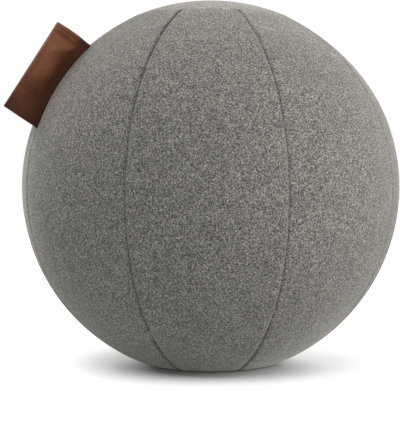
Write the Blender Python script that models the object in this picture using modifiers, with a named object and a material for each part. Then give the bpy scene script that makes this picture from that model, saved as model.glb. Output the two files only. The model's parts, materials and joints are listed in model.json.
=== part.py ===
"""Sitting ball: an inflated inner ball in a zipped felt cover, with a leather hand loop.

Metres, +Z up. The origin is on the floor under the ball's axis. The zip's seam faces +Y and the
hand loop's seam faces -X.
"""

import math

import bmesh
import bpy
from mathutils import Matrix, Vector

# Felt cover
BALL_WIDTH = 0.650
CROWN_DIP = 0.004
GORE_COUNT = 8
FELT = 0.003
SEAM_GAP = 0.0016
THREAD_RADIUS = 0.00045
THREAD_DEPTH = 0.0012
TOP_PANEL_WIDTH = 0.244

# Base
BASE_WIDTH = 0.250
BASE_PANEL = 0.003
FELT_LIFT = 0.0008
BASE_BOARD = 0.0025
BOARD_MARGIN = 0.006

# Inner ball and its valve
BALL_WALL = 0.0015
VALVE_HOLE_RADIUS = 0.010
VALVE_FLANGE = 0.003
VALVE_TUBE_RADIUS = 0.006
VALVE_TUBE = 0.016
VALVE_BORE_RADIUS = 0.0038
PLUG_HEAD_RADIUS = 0.0065
PLUG_HEAD = 0.0013
PLUG_STEM = 0.014

# Zip
ZIP_TO_BASE = 0.035
ZIP_SLOT = 0.016
ZIP_SLOT_END = 0.0085
TAPE = 0.0008
TAPE_WIDTH = 0.0085
TAPE_END = 0.016
TAPE_TUCK = 0.0014
CHAIN = 0.0026
CHAIN_WIDTH = 0.006
CHAIN_SLIT = 0.0011
STOP_LENGTH = 0.004
SLIDER_LENGTH = 0.013
SLIDER_PLATE = 0.001
SLIDER_LIP = 0.001
LUG = 0.0016
LUG_WALL = 0.001
LUG_FOOT = 0.0064
PULL = 0.0014
PULL_WIDTH = 0.007
PULL_LENGTH = 0.032
PULL_WINDOW = 0.0035

# Leather hand loop
LEATHER = 0.002
LOOP_ELEVATION = math.radians(33.5)
LOOP_LENGTH = 0.165
LOOP_REACH = 0.056
LOOP_OPENING = 0.010
LOOP_NECK = 0.014
LOOP_TAPER = 0.016
FOLD_RADIUS = 0.003
ROOT_DEPTH = 0.006

# Fits and facets
CLEARANCE = 0.0003
MERGE = 0.0001
GORE_STEPS = 6
BALL_STEPS = 32
ROUND_STEPS = 24
ARC_STEPS = 3
THREAD_SIDES = 4
COVER_FACET = math.radians(6)
BALL_FACET = math.radians(10)
ZIP_FACET = math.radians(2.5)
LOOP_FACET = math.radians(4.2)

# Worked out from the sizes above
RADIUS = BALL_WIDTH / 2
CROWN_RISE = RADIUS - CROWN_DIP
BASE_ANGLE = -math.acos(BASE_WIDTH / BALL_WIDTH)
CENTRE_HEIGHT = -RADIUS * math.sin(BASE_ANGLE)
SEAM_ANGLE = math.tau / GORE_COUNT
ZIP_SEAM = GORE_COUNT // 4
LOOP_SEAM = GORE_COUNT // 2
COVER_STEPS = GORE_COUNT * GORE_STEPS
CENTRE = Vector((0, 0, CENTRE_HEIGHT))

TAPE_TOP = FELT + TAPE_TUCK
TAPE_INNER = CHAIN_WIDTH / 2 + CLEARANCE
CHAIN_TOP = TAPE_TOP + TAPE / 2 - CHAIN / 2
OVER_PLATE_LOW = CHAIN_TOP - CLEARANCE
OVER_PLATE_TOP = OVER_PLATE_LOW - SLIDER_PLATE
UNDER_PLATE_TOP = CHAIN_TOP + CHAIN + CLEARANCE
UNDER_PLATE_LOW = UNDER_PLATE_TOP + SLIDER_PLATE
BALL_DEPTH = UNDER_PLATE_LOW + CLEARANCE

ZIP_TOP = -TAPE_END / RADIUS
ZIP_BOTTOM = BASE_ANGLE + ZIP_TO_BASE / RADIUS
PIN_HOLE_RADIUS = PULL / math.sqrt(2) + CLEARANCE
PIN_DEPTH = -PULL / 2 - CLEARANCE
STOP_ANGLE = (STOP_LENGTH + CLEARANCE) / RADIUS
PARK_ANGLE = ZIP_TOP - (SLIDER_LENGTH / 2 + CLEARANCE) / RADIUS

ROOT_HALF = LEATHER + CLEARANCE
HINGE_RISE = ROOT_HALF + CLEARANCE


def skin_radius(elevation):
    """From the ball's centre to the cover's outer face: a sphere below, a little flatter above."""
    rise = CROWN_RISE if elevation > 0 else RADIUS
    return 1 / math.hypot(math.cos(elevation) / RADIUS, math.sin(elevation) / rise)


def skin_point(elevation, depth=0.0):
    """(distance from the axis, height) on the cover's outer face, or at a depth below it."""
    reach = skin_radius(elevation) - depth
    return reach * math.cos(elevation), CENTRE_HEIGHT + reach * math.sin(elevation)


def spread(low, high, facet):
    """Angles from low to high, evenly spaced and no further apart than facet."""
    count = max(1, math.ceil(abs(high - low) / facet))
    return [low + (high - low) * i / count for i in range(count + 1)]


def arc(centre, radius, start, end, count):
    """Points on a circle in a plane, from one angle to another."""
    return [
        (centre[0] + radius * math.cos(angle), centre[1] + radius * math.sin(angle))
        for angle in (start + (end - start) * i / count for i in range(count + 1))
    ]


def collection_named(name):
    found = bpy.data.collections.new(name)
    bpy.context.scene.collection.children.link(found)
    return found


def finish(name, colour, roughness, metallic=0.0):
    """A plain surface, with its colour as linear red, green and blue."""
    material = bpy.data.materials.new(name)
    material.use_nodes = True
    shader = material.node_tree.nodes["Principled BSDF"]
    shader.inputs["Base Color"].default_value = (*colour, 1)
    shader.inputs["Roughness"].default_value = roughness
    shader.inputs["Metallic"].default_value = metallic
    return material


def add_piece(name, data, material, parent=None):
    """A named sub-part of the ball."""
    data.materials.append(material)
    piece = bpy.data.objects.new(name, data)
    piece.parent = parent
    parts.objects.link(piece)
    return piece


def add_cutter(name, mesh, parent=None):
    """A shape that only cuts, or is joined to, a sub-part."""
    cutter = bpy.data.objects.new(name, mesh)
    cutter.parent = parent
    cutter.hide_render = True
    cutter.display_type = "WIRE"
    cutters.objects.link(cutter)
    return cutter


def seam_frame(name, seam, facing):
    """An empty at the ball's centre, turned so that a seam lies where its pieces are drawn."""
    empty = bpy.data.objects.new(name, None)
    empty.location = CENTRE
    empty.rotation_euler.z = seam * SEAM_ANGLE - facing
    parts.objects.link(empty)
    return empty


def boolean(piece, other, operation):
    change = piece.modifiers.new(operation.lower(), "BOOLEAN")
    change.operation = operation
    change.object = other


def thicken(piece, thickness, offset=-1.0):
    wall = piece.modifiers.new("wall", "SOLIDIFY")
    wall.thickness = thickness
    wall.offset = offset
    wall.use_even_offset = True


def mesh_from(name, shape, smooth=True, centre=None):
    """A finished mesh from a bmesh, with its faces pointing out, or a sheet's away from a centre."""
    bmesh.ops.recalc_face_normals(shape, faces=shape.faces)
    if centre is not None:
        facing = sum(face.normal.dot(face.calc_center_median() - centre) for face in shape.faces)
        if facing < 0:
            bmesh.ops.reverse_faces(shape, faces=shape.faces)
    mesh = bpy.data.meshes.new(name)
    shape.to_mesh(mesh)
    shape.free()
    if smooth:
        mesh.shade_smooth()
    return mesh


def turned(name, profile, material, steps, parent=None):
    """A piece turned about its own Z from (radius, height) points that run from top to bottom."""
    mesh = bpy.data.meshes.new(name)
    links = [(i, i + 1) for i in range(len(profile) - 1)]
    mesh.from_pydata([(radius, 0, height) for radius, height in profile], links, [])
    piece = add_piece(name, mesh, material, parent)
    turn = piece.modifiers.new("turn", "SCREW")
    turn.steps = turn.render_steps = steps
    turn.use_merge_vertices = True
    turn.merge_threshold = MERGE
    return piece


def box_mesh(name, low, high):
    shape = bmesh.new()
    bmesh.ops.create_cube(shape, size=1)
    size = [b - a for a, b in zip(low, high)]
    bmesh.ops.scale(shape, vec=size, verts=shape.verts)
    bmesh.ops.translate(shape, vec=[(a + b) / 2 for a, b in zip(low, high)], verts=shape.verts)
    return mesh_from(name, shape, smooth=False)


def surface(columns, rows, place, closed=False):
    """A sheet of four-sided faces whose corners are where place(column, row) says."""
    shape = bmesh.new()
    lines = columns if closed else columns + 1
    grid = [[shape.verts.new(place(line, row)) for line in range(lines)] for row in range(rows + 1)]
    for low, high in zip(grid, grid[1:]):
        for line in range(columns):
            after = (line + 1) % lines
            shape.faces.new((low[line], low[after], high[after], high[line]))
    return shape


def plate_mesh(name, loops, thickness, turn):
    """A flat plate cut to closed loops of points, the first its outside and the rest its holes."""
    curve = bpy.data.curves.new(name, "CURVE")
    curve.dimensions = "2D"
    curve.fill_mode = "BOTH"
    curve.extrude = thickness / 2
    for loop in loops:
        spline = curve.splines.new("POLY")
        spline.points.add(len(loop) - 1)
        spline.use_cyclic_u = True
        for point, (x, y) in zip(spline.points, loop):
            point.co = (x, y, 0, 1)
    drawing = bpy.data.objects.new(name, curve)
    cutters.objects.link(drawing)
    graph = bpy.context.evaluated_depsgraph_get()
    flat = bpy.data.meshes.new_from_object(drawing.evaluated_get(graph))
    bpy.data.objects.remove(drawing)
    shape = bmesh.new()
    shape.from_mesh(flat)
    bpy.data.meshes.remove(flat)
    bmesh.ops.remove_doubles(shape, verts=shape.verts, dist=MERGE)
    bmesh.ops.transform(shape, matrix=turn, verts=shape.verts)
    return mesh_from(name, shape, smooth=False)


def add_thread(name, points):
    """A line of stitching, as one thread lying in its seam."""
    curve = bpy.data.curves.new(name, "CURVE")
    curve.dimensions = "3D"
    curve.bevel_depth = THREAD_RADIUS
    curve.bevel_resolution = 0
    curve.use_fill_caps = True
    spline = curve.splines.new("POLY")
    spline.points.add(len(points) - 1)
    for point, place in zip(spline.points, points):
        point.co = (*place, 1)
    add_piece(name, curve, thread_finish)


def add_ring_thread(name, radius, height):
    bpy.ops.mesh.primitive_torus_add(
        major_segments=COVER_STEPS,
        minor_segments=THREAD_SIDES,
        major_radius=radius,
        minor_radius=THREAD_RADIUS,
        location=(0, 0, height),
    )
    ring = bpy.context.object
    ring.name = name
    ring.data.materials.append(thread_finish)
    for holder in ring.users_collection:
        holder.objects.unlink(ring)
    parts.objects.link(ring)


def add_seam_thread(name, seam, low, high):
    """Stitching up one seam between two elevations."""
    points = []
    for elevation in spread(low, high, COVER_FACET):
        reach, height = skin_point(elevation, THREAD_DEPTH)
        azimuth = seam * SEAM_ANGLE
        points.append((reach * math.cos(azimuth), reach * math.sin(azimuth), height))
    add_thread(name, points)


def add_zip_strip(name, material, left, right, low, high, depth, thickness):
    """A strip bent round the ball in the zip's seam, from one elevation to another."""
    elevations = spread(low, high, ZIP_FACET)

    def place(column, row):
        reach = RADIUS - depth
        across = (left, right)[column]
        return across, reach * math.cos(elevations[row]), reach * math.sin(elevations[row])

    sheet = surface(1, len(elevations) - 1, place)
    strip = add_piece(name, mesh_from(name, sheet, centre=Vector()), material, zip_frame)
    thicken(strip, thickness)


for old in list(bpy.data.objects):
    bpy.data.objects.remove(old)
parts = collection_named("sitting_ball")
cutters = collection_named("cutters")

felt_finish = finish("grey wool felt", (0.19, 0.183, 0.168), 0.95)
thread_finish = finish("dark grey sewing thread", (0.06, 0.058, 0.054), 0.8)
leather_finish = finish("brown leather", (0.15, 0.055, 0.03), 0.5)
grip_finish = finish("dark non-slip cloth", (0.03, 0.03, 0.031), 0.85)
board_finish = finish("white polyethylene board", (0.6, 0.6, 0.58), 0.5)
vinyl_finish = finish("grey soft vinyl", (0.25, 0.26, 0.27), 0.45)
plug_finish = finish("white vinyl", (0.75, 0.75, 0.73), 0.4)
tape_finish = finish("dark grey zip tape", (0.07, 0.068, 0.063), 0.9)
chain_finish = finish("dark grey nylon", (0.05, 0.049, 0.046), 0.5)
metal_finish = finish("dark nickel", (0.22, 0.21, 0.2), 0.35, 1.0)

zip_frame = seam_frame("zip_frame", ZIP_SEAM, math.pi / 2)
loop_frame = seam_frame("loop_frame", LOOP_SEAM, math.pi)

# The seam angles at the top panel and at the base, and half a seam's gap as an angle
top_slope = math.acos(TOP_PANEL_WIDTH / BALL_WIDTH)
top_seam = math.atan2(CROWN_RISE * math.sin(top_slope), TOP_PANEL_WIDTH / 2)
half_seam = SEAM_GAP / 2 / RADIUS
gore_top = top_seam - half_seam
gore_base = -math.asin((CENTRE_HEIGHT - FELT_LIFT) / RADIUS)

# The hand loop's bending line, which is square to loop_out
loop_radius = skin_radius(LOOP_ELEVATION) + HINGE_RISE
loop_half_angle = math.asin(LOOP_LENGTH / 2 / loop_radius)
loop_turn = (0, -LOOP_ELEVATION, math.pi)
loop_out = Vector((-math.cos(LOOP_ELEVATION), 0, math.sin(LOOP_ELEVATION)))
loop_angles = spread(-loop_half_angle, loop_half_angle, LOOP_FACET)


def loop_line(angle, rise):
    """(out, along) of a point at a height over the felt, seen from the hand loop's bending line."""
    reach = skin_radius(LOOP_ELEVATION + angle) + rise
    return reach * math.cos(angle) - loop_radius, reach * math.sin(angle)


# Slots in the felt for the zip and for the root of the hand loop
slot_angle = ZIP_SLOT_END / RADIUS
slot_top = ZIP_TOP + slot_angle
slot_base = ZIP_BOTTOM - slot_angle
zip_slot = add_cutter(
    "zip_slot",
    box_mesh(
        "zip_slot",
        (-ZIP_SLOT / 2, 0, RADIUS * math.sin(slot_base)),
        (ZIP_SLOT / 2, BALL_WIDTH, RADIUS * math.sin(slot_top)),
    ),
    zip_frame,
)
root_points = [loop_line(angle, rise) for angle in loop_angles for rise in (-ROOT_DEPTH, 0)]
slot_floor = min(out for out, along in root_points) - CLEARANCE
slot_end = max(abs(along) for out, along in root_points) + CLEARANCE
loop_slot = add_cutter(
    "loop_slot",
    box_mesh(
        "loop_slot",
        (slot_floor, -ROOT_HALF - CLEARANCE, -slot_end),
        (LOOP_REACH, ROOT_HALF + CLEARANCE, slot_end),
    ),
    loop_frame,
)
loop_slot.location = loop_out * loop_radius
loop_slot.rotation_euler = loop_turn

# Eight felt gores, cut back at each side by half a seam's gap
shape = bmesh.new()
edge = [shape.verts.new((x, 0, z)) for x, z in map(skin_point, spread(gore_top, gore_base, COVER_FACET))]
line = [shape.edges.new(pair) for pair in zip(edge, edge[1:])]
bmesh.ops.spin(
    shape, geom=edge + line, cent=(0, 0, 0), axis=(0, 0, 1), angle=SEAM_ANGLE, steps=GORE_STEPS
)
for azimuth, sign in ((0, -1), (SEAM_ANGLE, 1)):
    across = Vector((-math.sin(azimuth), math.cos(azimuth), 0)) * sign
    bmesh.ops.bisect_plane(
        shape,
        geom=shape.verts[:] + shape.edges[:] + shape.faces[:],
        plane_co=across * -SEAM_GAP / 2,
        plane_no=across,
        clear_outer=True,
    )
gore_mesh = mesh_from("gore", shape, centre=CENTRE)
gore_mesh.materials.append(felt_finish)
for index in range(GORE_COUNT):
    gore = bpy.data.objects.new(f"gore_{index + 1}", gore_mesh)
    gore.rotation_euler.z = index * SEAM_ANGLE
    parts.objects.link(gore)
    thicken(gore, FELT)
    for seam, slot in ((ZIP_SEAM, zip_slot), (LOOP_SEAM, loop_slot)):
        if seam in (index, index + 1):
            boolean(gore, slot, "DIFFERENCE")

# Round top panel
crown = [skin_point(angle) for angle in spread(math.pi / 2, top_seam + half_seam, COVER_FACET)]
crown[0] = (0, crown[0][1])
thicken(turned("top_panel", crown, felt_finish, COVER_STEPS), FELT)

# Base panel: its rim is parallel to the felt's cut edge, a seam's gap away, and it meets the floor
rim = [skin_point(gore_base, depth) for depth in (0, FELT)]
rim_slope = (rim[1][0] - rim[0][0]) / (rim[1][1] - rim[0][1])
rim_gap = SEAM_GAP * math.hypot(1, rim_slope)


def base_rim(height, share=1.0):
    """Radius of the base panel's rim at a height, or of a line part of the way across its seam."""
    return rim[0][0] + rim_slope * (height - rim[0][1]) - rim_gap * share


base_profile = [(0, BASE_PANEL), (base_rim(BASE_PANEL), BASE_PANEL), (base_rim(0), 0), (0, 0)]
turned("base_panel", base_profile, grip_finish, COVER_STEPS)
board_low = BASE_PANEL + CLEARANCE
board_top = board_low + BASE_BOARD
board_edge = base_rim(BASE_PANEL) - BOARD_MARGIN
board_profile = [(0, board_top), (board_edge, board_top), (board_edge, board_low), (0, board_low)]
turned("base_board", board_profile, board_finish, COVER_STEPS)

# Stitching: one thread in each seam, broken where the zip and the hand loop are
thread_top = gore_top - half_seam
thread_base = gore_base + half_seam
for seam in range(GORE_COUNT):
    if seam not in (ZIP_SEAM, LOOP_SEAM):
        add_seam_thread(f"seam_stitching_{seam + 1}", seam, thread_base, thread_top)
loop_end = loop_half_angle + 2 * half_seam
breaks = (
    ("zip", ZIP_SEAM, slot_base - 2 * half_seam, slot_top + 2 * half_seam),
    ("hand_loop", LOOP_SEAM, LOOP_ELEVATION - loop_end, LOOP_ELEVATION + loop_end),
)
for what, seam, low, high in breaks:
    add_seam_thread(f"stitching_below_{what}", seam, thread_base, low)
    add_seam_thread(f"stitching_above_{what}", seam, high, thread_top)
add_ring_thread("top_panel_stitching", *skin_point(top_seam, THREAD_DEPTH))
base_thread_height = BASE_PANEL / 2
base_thread_radius = base_rim(base_thread_height, share=0.5)
add_ring_thread("base_panel_stitching", base_thread_radius, base_thread_height)

# Inner ball: flat where it sits on the board, with a hole behind the zip for its valve
ball_seat = board_top + CLEARANCE
seat_angle = -math.asin((CENTRE_HEIGHT - ball_seat) / (RADIUS - BALL_DEPTH))
ball_profile = [skin_point(a, BALL_DEPTH) for a in spread(math.pi / 2, seat_angle, BALL_FACET)]
ball_profile[0] = (0, ball_profile[0][1])
inner_ball = turned("inner_ball", ball_profile + [(0, ball_seat)], vinyl_finish, BALL_STEPS)
thicken(inner_ball, BALL_WALL)

valve_angle = (ZIP_TOP + ZIP_BOTTOM) / 2
valve_frame = bpy.data.objects.new("valve_frame", None)
valve_frame.parent = zip_frame
valve_frame.location = (RADIUS - BALL_DEPTH) * Vector((0, math.cos(valve_angle), math.sin(valve_angle)))
valve_frame.rotation_euler.x = valve_angle - math.pi / 2
parts.objects.link(valve_frame)
shape = bmesh.new()
bmesh.ops.create_cone(
    shape,
    cap_ends=True,
    segments=ROUND_STEPS,
    radius1=VALVE_HOLE_RADIUS,
    radius2=VALVE_HOLE_RADIUS,
    depth=2 * VALVE_TUBE,
)
valve_hole = add_cutter("valve_hole", mesh_from("valve_hole", shape, smooth=False), valve_frame)
boolean(inner_ball, valve_hole, "DIFFERENCE")

plug_top = -2 * CLEARANCE
plug_neck = plug_top - PLUG_HEAD
stem = VALVE_BORE_RADIUS - CLEARANCE
flange = VALVE_HOLE_RADIUS - CLEARANCE
recess = PLUG_HEAD_RADIUS + CLEARANCE
recess_floor = plug_neck - CLEARANCE
valve_profile = [
    (VALVE_BORE_RADIUS, recess_floor),
    (recess, recess_floor),
    (recess, -CLEARANCE),
    (flange, -CLEARANCE),
    (flange, -CLEARANCE - VALVE_FLANGE),
    (VALVE_TUBE_RADIUS, -CLEARANCE - VALVE_FLANGE),
    (VALVE_TUBE_RADIUS, -VALVE_TUBE),
    (VALVE_BORE_RADIUS, -VALVE_TUBE),
    (VALVE_BORE_RADIUS, recess_floor),
]
turned("valve_seat", valve_profile, vinyl_finish, ROUND_STEPS, valve_frame)
plug_profile = [
    (0, plug_top),
    (PLUG_HEAD_RADIUS, plug_top),
    (PLUG_HEAD_RADIUS, plug_neck),
    (stem, plug_neck),
    (stem, plug_neck - PLUG_STEM),
    (0, plug_neck - PLUG_STEM),
]
turned("valve_plug", plug_profile, plug_finish, ROUND_STEPS, valve_frame)

# Zip: a tape and half the chain at each side, with a stop at each end of the chain
tape_angle = TAPE_END / RADIUS
for side, sign in (("left", -1), ("right", 1)):
    tape_edges = sorted((sign * TAPE_INNER, sign * (TAPE_INNER + TAPE_WIDTH)))
    chain_edges = sorted((sign * CHAIN_SLIT / 2, sign * CHAIN_WIDTH / 2))
    tape_ends = (ZIP_BOTTOM - tape_angle, ZIP_TOP + tape_angle)
    add_zip_strip(f"zip_tape_{side}", tape_finish, *tape_edges, *tape_ends, TAPE_TOP, TAPE)
    add_zip_strip(f"zip_chain_{side}", chain_finish, *chain_edges, ZIP_BOTTOM, ZIP_TOP, CHAIN_TOP, CHAIN)
stop_edges = (-CHAIN_WIDTH / 2, CHAIN_WIDTH / 2)
stop_gap = CLEARANCE / RADIUS
for end, low, high in (
    ("top", ZIP_TOP + stop_gap, ZIP_TOP + STOP_ANGLE),
    ("bottom", ZIP_BOTTOM - STOP_ANGLE, ZIP_BOTTOM - stop_gap),
):
    add_zip_strip(f"zip_{end}_stop", metal_finish, *stop_edges, low, high, CHAIN_TOP, CHAIN)

# Zip slider: two plates round the chain, joined by a post in its slit, with a lug for the pull.
# It is drawn with X across the zip, Y out from the ball's centre and Z up along the zip.
post = CHAIN_SLIT / 2 - CLEARANCE
lip = TAPE_INNER
plate_edge = lip + SLIDER_LIP
half_section = [
    (plate_edge, OVER_PLATE_TOP),
    (plate_edge, TAPE_TOP - CLEARANCE),
    (lip, TAPE_TOP - CLEARANCE),
    (lip, OVER_PLATE_LOW),
    (post, OVER_PLATE_LOW),
    (post, UNDER_PLATE_TOP),
    (lip, UNDER_PLATE_TOP),
    (lip, TAPE_TOP + TAPE + CLEARANCE),
    (plate_edge, TAPE_TOP + TAPE + CLEARANCE),
    (plate_edge, UNDER_PLATE_LOW),
]
section = half_section + [(-x, depth) for x, depth in reversed(half_section)]


def slider_place(column, row):
    across, depth = section[column]
    return across, RADIUS - depth, (-SLIDER_LENGTH / 2, SLIDER_LENGTH / 2)[row]


shape = surface(len(section), 1, slider_place, closed=True)
bmesh.ops.holes_fill(shape, edges=shape.edges)
slider = add_piece("zip_slider", mesh_from("zip_slider", shape, smooth=False), metal_finish, zip_frame)
slider.rotation_euler.x = PARK_ANGLE

pin_reach = RADIUS - PIN_DEPTH
lug_foot = RADIUS - OVER_PLATE_TOP - SLIDER_PLATE / 2
lug_outside = [(-LUG_FOOT / 2, lug_foot), (LUG_FOOT / 2, lug_foot)]
lug_outside += arc((0, pin_reach), PIN_HOLE_RADIUS + LUG_WALL, 0, math.pi, 2 * ARC_STEPS)
pin_hole = arc((0, pin_reach), PIN_HOLE_RADIUS, 0, math.tau, ROUND_STEPS)[:-1]
lug_turn = Matrix.Rotation(-math.pi / 2, 4, "Y")
lug = add_cutter("zip_lug", plate_mesh("zip_lug", [lug_outside, pin_hole], LUG, lug_turn), zip_frame)
lug.rotation_euler.x = PARK_ANGLE
boolean(slider, lug, "UNION")

# Zip pull: a flat tab with a window, whose end bar is the pin in the slider's lug
bar = PULL / 2
window_half = LUG / 2 + CLEARANCE
end_round = PULL_WIDTH / 2
tab = [(end_round, bar), (-end_round, bar)]
tab += arc((0, bar + end_round - PULL_LENGTH), end_round, math.pi, math.tau, 2 * ARC_STEPS)
window_low = -bar - PULL_WINDOW
window = [(-window_half, -bar), (window_half, -bar), (window_half, window_low), (-window_half, window_low)]
pull_turn = Matrix.Rotation(math.pi / 2, 4, "X")
pull = add_piece("zip_pull", plate_mesh("zip_pull", [tab, window], PULL, pull_turn), metal_finish, slider)
pull.location = (0, pin_reach, 0)

# Hand loop: leather folded double, drawn with X out from the ball, Z up the seam and its
# origin on the line that it bends about. Its root edge follows the ball.


def loop_half(root):
    """Half of the leather's middle line, from its root to the fold, as (out, aside) points."""
    root_radius = ROOT_HALF - LEATHER / 2
    wall = LOOP_OPENING / 2 + LEATHER / 2
    fold = LOOP_REACH - HINGE_RISE - LEATHER / 2 - FOLD_RADIUS
    points = arc((root, 0), root_radius, math.pi, math.pi / 2, ARC_STEPS)
    points += [(root + LOOP_NECK, wall), (fold - LOOP_TAPER, wall)]
    return points + arc((fold, 0), FOLD_RADIUS, math.pi / 2, 0, ARC_STEPS)


def loop_place(column, row):
    root, along = loop_line(loop_angles[row], HINGE_RISE)
    half = loop_half(root)
    ring = half + [(out, -aside) for out, aside in reversed(half[1:-1])]
    out, aside = ring[column]
    return out, aside, along


loop_columns = 2 * (len(loop_half(0)) - 1)
sheet = surface(loop_columns, len(loop_angles) - 1, loop_place, closed=True)
hand_loop = add_piece("hand_loop", mesh_from("hand_loop", sheet), leather_finish, loop_frame)
thicken(hand_loop, LEATHER, offset=0)


def root_place(column, row):
    out, along = loop_line(loop_angles[row], (-ROOT_DEPTH, 0)[column])
    return out, 0, along


sheet = surface(1, len(loop_angles) - 1, root_place)
root = add_piece("hand_loop_root", mesh_from("hand_loop_root", sheet), leather_finish, loop_frame)
thicken(root, 2 * ROOT_HALF, offset=0)
for leather in (hand_loop, root):
    leather.location = loop_out * loop_radius
    leather.rotation_euler = loop_turn
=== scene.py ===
"""The look of a sitting ball: an inflated ball in a grey felt cover, with a leather hand loop.

Metres, +Z up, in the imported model's own frame: the zip's seam faces +Y and the hand loop's -X.
"""

import json
import math

import bmesh
import bpy
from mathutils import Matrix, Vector, noise

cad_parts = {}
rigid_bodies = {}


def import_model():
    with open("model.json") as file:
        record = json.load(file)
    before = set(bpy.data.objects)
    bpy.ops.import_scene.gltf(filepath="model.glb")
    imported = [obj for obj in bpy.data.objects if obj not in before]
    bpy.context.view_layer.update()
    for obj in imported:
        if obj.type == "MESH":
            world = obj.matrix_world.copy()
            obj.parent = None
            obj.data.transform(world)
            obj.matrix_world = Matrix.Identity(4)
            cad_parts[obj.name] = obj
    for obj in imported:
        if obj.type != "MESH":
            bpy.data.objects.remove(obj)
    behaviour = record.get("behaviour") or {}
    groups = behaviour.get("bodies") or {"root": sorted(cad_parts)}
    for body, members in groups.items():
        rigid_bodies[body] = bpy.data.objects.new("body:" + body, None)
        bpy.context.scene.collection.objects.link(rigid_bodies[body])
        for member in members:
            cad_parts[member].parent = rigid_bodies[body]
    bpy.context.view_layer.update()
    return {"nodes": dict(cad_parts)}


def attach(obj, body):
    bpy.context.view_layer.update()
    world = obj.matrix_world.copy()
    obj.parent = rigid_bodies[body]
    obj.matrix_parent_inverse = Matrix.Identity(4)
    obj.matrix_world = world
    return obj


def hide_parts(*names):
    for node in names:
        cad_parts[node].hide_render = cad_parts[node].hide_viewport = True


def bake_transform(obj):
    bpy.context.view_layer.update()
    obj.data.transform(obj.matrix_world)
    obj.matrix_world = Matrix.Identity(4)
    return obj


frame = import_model()

# Inner ball. An inflated ball of soft grey vinyl, moulded with a valve seat, which takes a white
# push-in plug. It fills the cover and is only seen when the zip is undone, so the CAD pieces stay.


def linear(code):
    """A colour written as sRGB hex, as linear red, green, blue and alpha."""
    shares = [int(code[i : i + 2], 16) / 255 for i in (1, 3, 5)]
    return (*(s / 12.92 if s <= 0.04045 else ((s + 0.055) / 1.055) ** 2.4 for s in shares), 1)


def add_node(tree, kind, inputs, **settings):
    """Adds a node with its settings; each of its inputs takes a value or another node's output."""
    made = tree.nodes.new(kind)
    for name, value in settings.items():
        setattr(made, name, value)
    for name, value in inputs.items():
        if isinstance(value, bpy.types.NodeSocket):
            tree.links.new(value, made.inputs[name])
        else:
            made.inputs[name].default_value = value
    return made


def new_material(name):
    """A new material, with its node tree, its shader and the place of each point on its piece."""
    made = bpy.data.materials.new(name)
    made.use_nodes = True
    tree = made.node_tree
    place = add_node(tree, "ShaderNodeTexCoord", {}).outputs["Object"]
    return made, tree, tree.nodes["Principled BSDF"], place


def dyed(material, name, dark, light):
    """A copy of a material with its two colours changed."""
    made = material.copy()
    made.name = name
    mix = next(n for n in made.node_tree.nodes if n.bl_idname == "ShaderNodeMix")
    mix.inputs[6].default_value = linear(dark)
    mix.inputs[7].default_value = linear(light)
    return made


def coat(node, material):
    """Gives a CAD piece that stays in the scene its real material."""
    coats = frame["nodes"][node].data.materials
    coats.clear()
    coats.append(material)


# Soft vinyl, blown in a polished mould: even colour with a faint bloom, and a low satin shine
vinyl, tree, shader, place = new_material("moulded soft vinyl")
bloom = add_node(tree, "ShaderNodeTexNoise", {"Vector": place, "Scale": 1 / 0.05, "Detail": 3})
shade = add_node(
    tree,
    "ShaderNodeMix",
    {0: bloom.outputs["Fac"], 6: linear("#85878a"), 7: linear("#8f9194")},
    data_type="RGBA",
)
satin = add_node(
    tree,
    "ShaderNodeMapRange",
    {"Value": bloom.outputs["Fac"], "To Min": 0.38, "To Max": 0.5},
)
tree.links.new(shade.outputs[2], shader.inputs["Base Color"])
tree.links.new(satin.outputs["Result"], shader.inputs["Roughness"])
shader.inputs["IOR"].default_value = 1.53

# The same vinyl, dyed white
white_vinyl = dyed(vinyl, "white soft vinyl", "#e0e0de", "#eaeae8")

coat("inner_ball", vinyl)
coat("valve_seat", vinyl)
coat("valve_plug", white_vinyl)

# Base board. A stiff disc of white polyethylene sheet, which lies loose on the base panel and
# gives the ball its flat foot. It is inside the cover, so the CAD disc stays.

# Extruded polyethylene sheet: milky white with faint streaks along the way it was drawn
board, tree, shader, place = new_material("extruded polyethylene board")
drawn = add_node(
    tree, "ShaderNodeMapping", {"Vector": place, "Scale": (1 / 0.004, 1 / 0.08, 1 / 0.08)}
)
streaks = add_node(
    tree, "ShaderNodeTexNoise", {"Vector": drawn.outputs["Vector"], "Scale": 1, "Detail": 2}
)
shade = add_node(
    tree,
    "ShaderNodeMix",
    {0: streaks.outputs["Fac"], 6: linear("#c8c8c4"), 7: linear("#d4d4d0")},
    data_type="RGBA",
)
tree.links.new(shade.outputs[2], shader.inputs["Base Color"])
shader.inputs["Roughness"].default_value = 0.42
shader.inputs["IOR"].default_value = 1.51
coat("base_board", board)

# Felt gores. Eight panels of thick melange wool felt, cut like the peel of an orange and sewn edge
# to edge. Each edge turns in at its seam, and the seams, pulled unevenly, show as narrow dark
# grooves. Two gores part round the zip, and two more hold the root of the hand loop between them.
ball_centre = Vector((0, 0, 0.300))
ball_radius = 0.325
crown_rise = 0.321
top_panel_radius = 0.122
gore_count = 8
felt_wall = 0.003
seam_turn = 0.0046
seam_sink = 0.0036
crown_sink = 0.0065
foot_sink = 0.0056
opening_sink = 0.0034
ring_sink = 0.0012
hem_sink = 0.0010
seam_pull = (1, 1, 1, 1, 0.4, 1.1, 0.6, 0.4)
gather_start = math.radians(20)
gather_reach = math.radians(38)
pucker_length = 0.011
pucker_share = 0.35
pucker_shift = 3.7
edge_steps = (0, 0.0003, 0.0009, 0.0020, 0.0034, 0.0046)
crown_flat = 0.003
crown_flat_start = math.radians(20)
crown_flat_reach = 0.6
crown_flat_end = 0.14
zip_seam = 2
zip_part = 0.008
zip_opening = (math.radians(-62.7), math.radians(-1.3))
loop_seam = 4
loop_part = 0.0026
loop_elevation = math.radians(33.5)
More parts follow.
